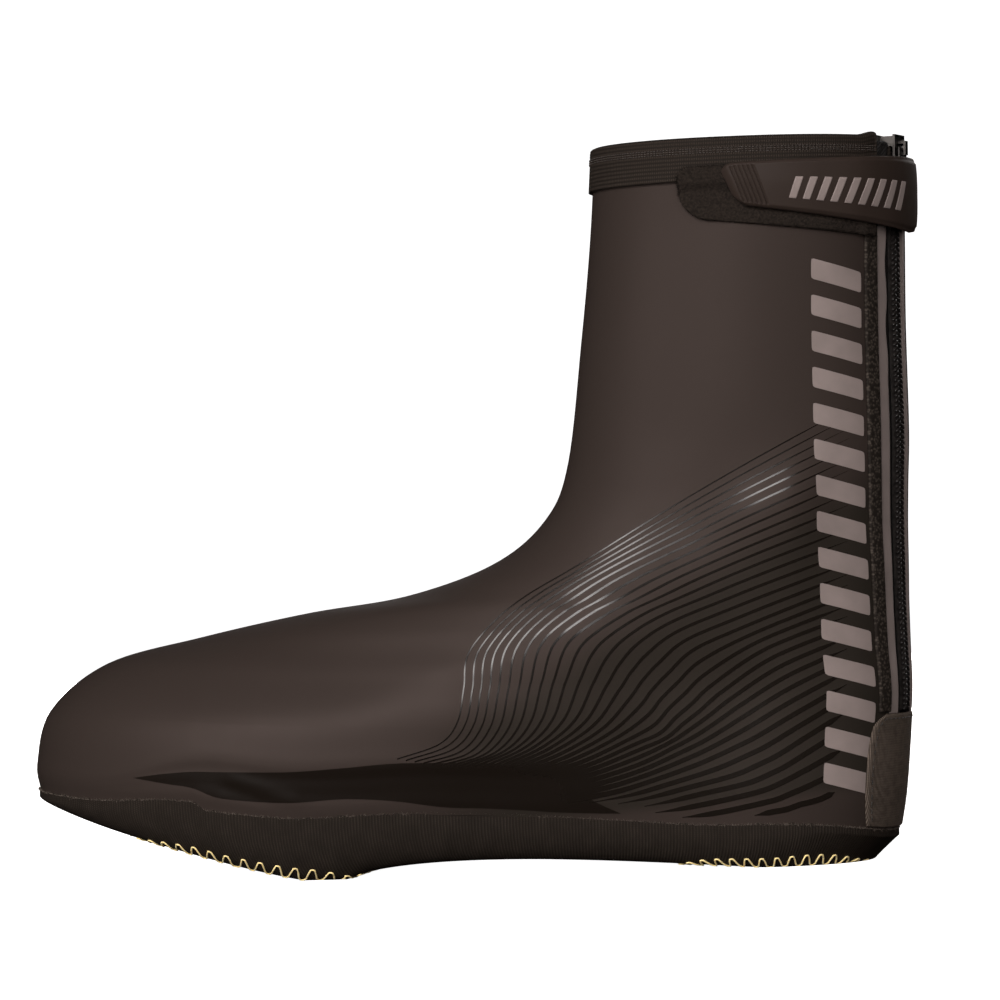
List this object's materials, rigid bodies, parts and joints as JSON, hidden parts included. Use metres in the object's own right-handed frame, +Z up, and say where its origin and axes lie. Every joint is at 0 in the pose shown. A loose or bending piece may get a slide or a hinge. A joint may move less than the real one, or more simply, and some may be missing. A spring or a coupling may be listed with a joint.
{
  "type": "cycling overshoe",
  "caption": "Left cycling overshoe with a coated fabric upper, back zip, collar strap and a woven base cut open for the cleat and the heel.",
  "frame": {"origin": "middle of the bounding box, on the floor that the sole stands on", "axes": "+X towards the heel (the toe points to -X), -Y towards the outer side of the left foot, +Z up the shaft"},
  "size_m": [0.3122, 0.1044, 0.2374],
  "materials": {
    "coated_fabric": "satin coated stretch fabric",
    "woven_base": "matt ribbed weave",
    "ribbed_elastic": "matt ribbed elastic",
    "stretch_weave": "matt stretch weave",
    "moulded_rubber": "satin moulded rubber",
    "pile": "looped pile",
    "reflective_film": "pale reflective film",
    "edge_tape": "textured elastic tape",
    "zip_tape": "matt woven tape",
    "zip_coil": "moulded coil",
    "slider_metal": "dark polished metal"
  },
  "bodies": {
    "overshoe": {"upper": "coated_fabric", "sole_panel": "woven_base", "collar_band": "ribbed_elastic", "heel_patch": "stretch_weave", "closure_strap": "moulded_rubber", "loop_patch": "pile", "reflective_strip_lateral": "reflective_film", "reflective_strip_medial": "reflective_film", "edge_tape_lateral": "edge_tape", "edge_tape_medial": "edge_tape", "zip_tape_lateral": "zip_tape", "zip_tape_medial": "zip_tape", "zip_chain": "zip_coil", "zip_slider": "slider_metal"},
    "pull_tab": {"zip_pull_tab": "slider_metal"}
  },
  "joints": [
    {"name": "pull_tab_swing", "type": "hinge", "parent": "overshoe", "child": "pull_tab", "pos_m": [0.15175, -0.00943, 0.23173], "axis": [-0.2289, -0.9735, 0.0033], "range_deg": [-2, 3]}
  ]
}
